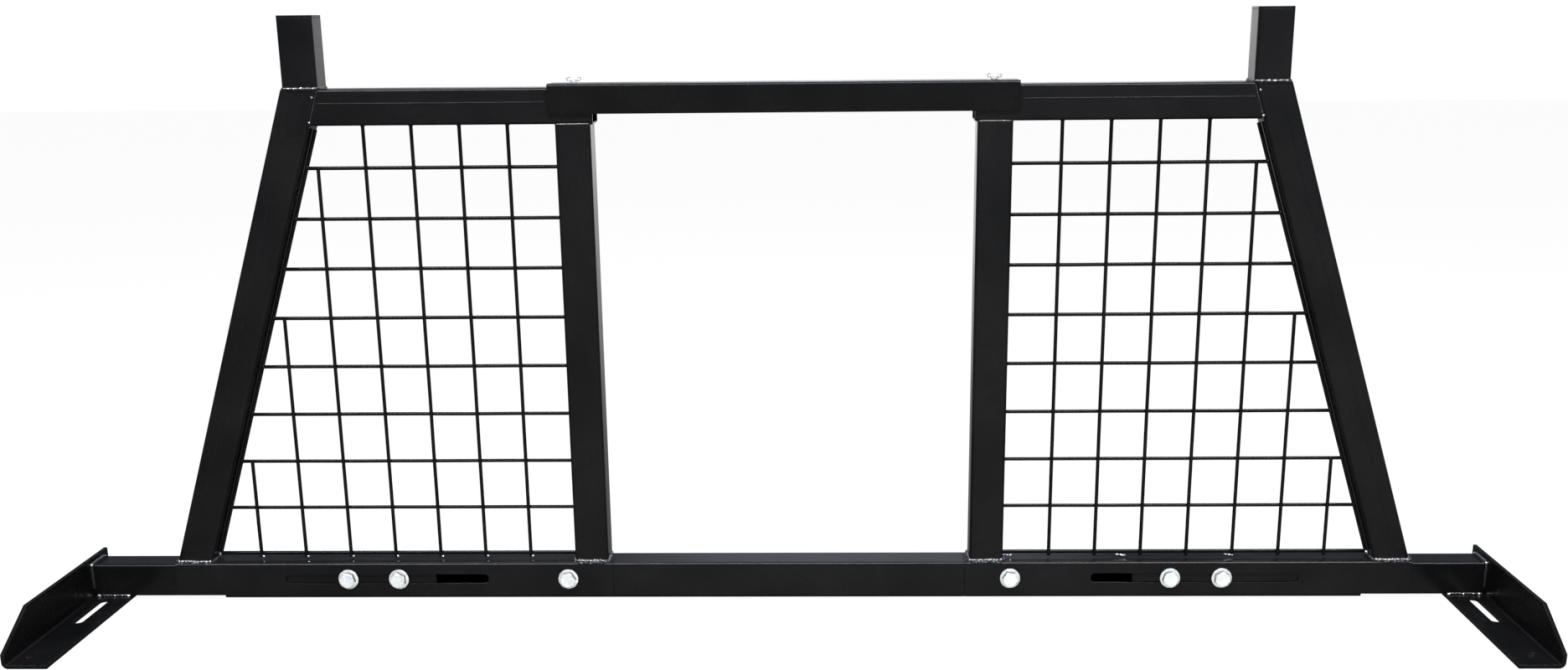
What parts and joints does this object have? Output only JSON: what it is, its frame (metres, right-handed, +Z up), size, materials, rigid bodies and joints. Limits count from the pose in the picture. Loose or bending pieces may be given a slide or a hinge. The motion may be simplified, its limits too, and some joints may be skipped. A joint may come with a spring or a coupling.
{
  "type": "headache rack",
  "caption": "Black tubular steel headache rack for a truck bed, with mesh side panels, an open centre and feet on arms that slide out to fit the bed's width.",
  "frame": {"origin": "on the rack's centre plane, halfway along the feet, at the level of the feet's undersides", "axes": "+X to the right for someone in the bed looking at the cab, -Y down the bed (the feet point that way), +Z up"},
  "size_m": [1.8971, 0.3311, 0.7645],
  "materials": {
    "powder_coat": "semi-gloss black powder coat over welded steel",
    "zinc": "bright zinc plate"
  },
  "bodies": {
    "centre_section": {"top_channel": "powder_coat", "centre_bar": "powder_coat", "left_coupler": "powder_coat", "right_coupler": "powder_coat"},
    "left_frame": {"left_lower_rail": "powder_coat", "left_inner_post": "powder_coat", "left_outer_post": "powder_coat", "left_top_rail": "powder_coat", "left_stub_post": "powder_coat", "left_stub_cap": "powder_coat", "left_mesh_panel": "powder_coat", "left_centre_bolt": "zinc", "left_centre_washer": "zinc", "left_centre_nut": "zinc"},
    "left_arm": {"left_arm_tube": "powder_coat", "left_foot": "powder_coat", "left_outer_bolt": "zinc", "left_outer_washer": "zinc", "left_outer_nut": "zinc", "left_inner_bolt": "zinc", "left_inner_washer": "zinc", "left_inner_nut": "zinc"},
    "left_wing_screw": {"left_wing_screw": "zinc"},
    "right_frame": {"right_lower_rail": "powder_coat", "right_inner_post": "powder_coat", "right_outer_post": "powder_coat", "right_top_rail": "powder_coat", "right_stub_post": "powder_coat", "right_stub_cap": "powder_coat", "right_mesh_panel": "powder_coat", "right_centre_bolt": "zinc", "right_centre_washer": "zinc", "right_centre_nut": "zinc"},
    "right_arm": {"right_arm_tube": "powder_coat", "right_foot": "powder_coat", "right_outer_bolt": "zinc", "right_outer_washer": "zinc", "right_outer_nut": "zinc", "right_inner_bolt": "zinc", "right_inner_washer": "zinc", "right_inner_nut": "zinc"},
    "right_wing_screw": {"right_wing_screw": "zinc"}
  },
  "joints": [
    {"name": "left_frame_slide", "type": "slide", "parent": "centre_section", "child": "left_frame", "axis": [-1, 0, 0], "range_m": [0, 0.02]},
    {"name": "left_arm_slide", "type": "slide", "parent": "left_frame", "child": "left_arm", "axis": [-1, 0, 0], "range_m": [-0.112, 0.0805]},
    {"name": "left_wing_screw_turn", "type": "hinge", "parent": "centre_section", "child": "left_wing_screw", "pos_m": [-0.265, 0.133, 0.6795], "axis": [0, 0, 1], "continuous": true},
    {"name": "right_frame_slide", "type": "slide", "parent": "centre_section", "child": "right_frame", "axis": [1, 0, 0], "range_m": [0, 0.02]},
    {"name": "right_arm_slide", "type": "slide", "parent": "right_frame", "child": "right_arm", "axis": [1, 0, 0], "range_m": [-0.0955, 0.097]},
    {"name": "right_wing_screw_turn", "type": "hinge", "parent": "centre_section", "child": "right_wing_screw", "pos_m": [0.265, 0.133, 0.6795], "axis": [0, 0, 1], "continuous": true}
  ]
}
